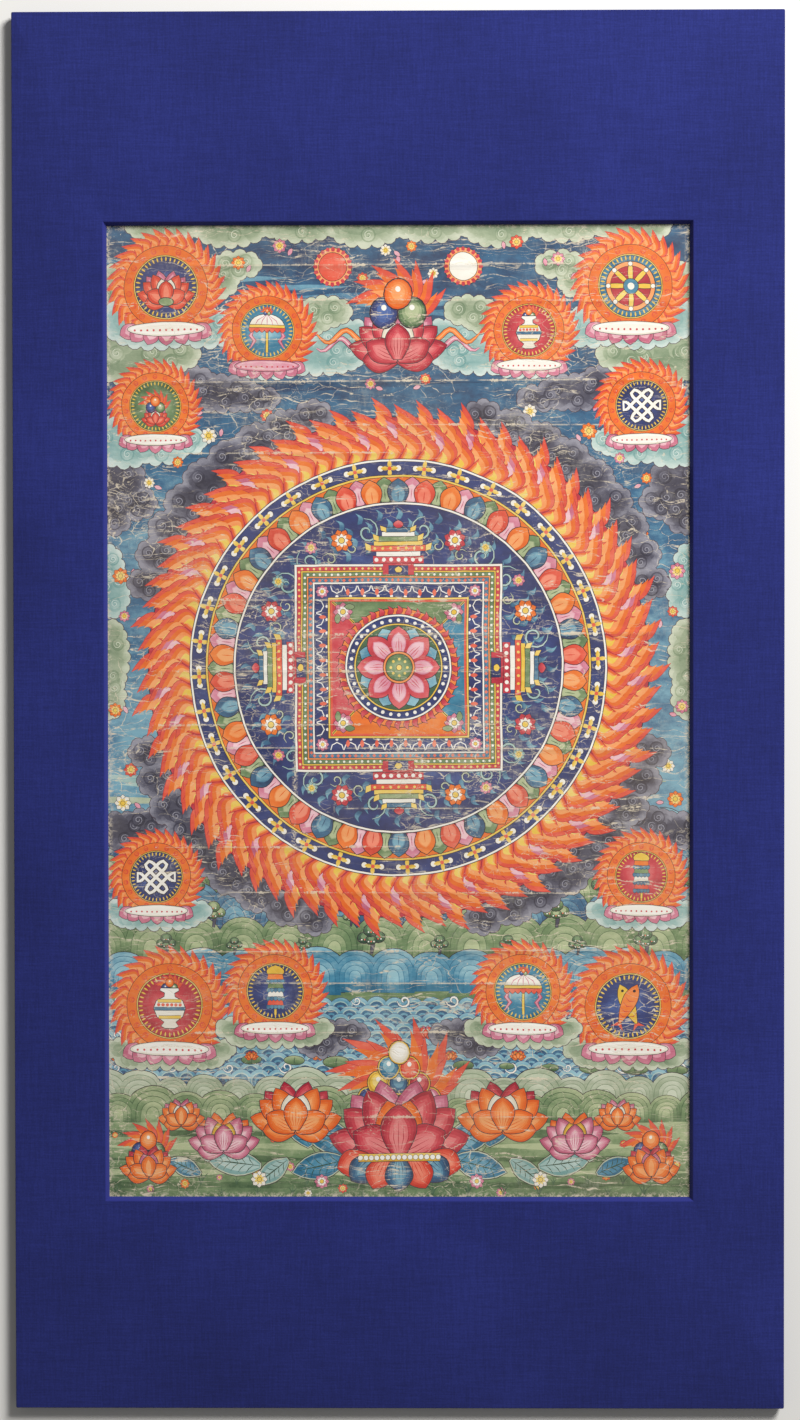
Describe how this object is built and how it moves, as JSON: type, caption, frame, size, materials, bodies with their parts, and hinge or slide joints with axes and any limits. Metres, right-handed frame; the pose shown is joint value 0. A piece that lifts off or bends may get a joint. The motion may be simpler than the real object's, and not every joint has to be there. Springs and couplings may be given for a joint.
{
  "type": "thangka painting in a cloth-covered window mount",
  "caption": "Upright painted cotton thangka with rolling creases, held behind the bevelled window of a navy cloth-covered mount board with a plain backing board.",
  "frame": {"origin": "middle of the back, on the surface that the backing board rests on", "axes": "+Z comes out of the face of the painting, +Y runs to the painting's top, +X to its right"},
  "size_m": [0.83, 1.505, 0.0149],
  "materials": {
    "painted_cotton": "hand-woven cotton, sized and painted in matte mineral colours, worn along its creases",
    "navy_cloth": "matte plain-woven navy mount cloth",
    "grey_card": "dense grey card, uncoated",
    "buff_board": "buff conservation board, uncoated"
  },
  "bodies": {
    "root": {"thangka_cloth": "painted_cotton", "mount_cloth": "navy_cloth", "mount_board": "grey_card", "backing_board": "buff_board"}
  },
  "joints": []
}
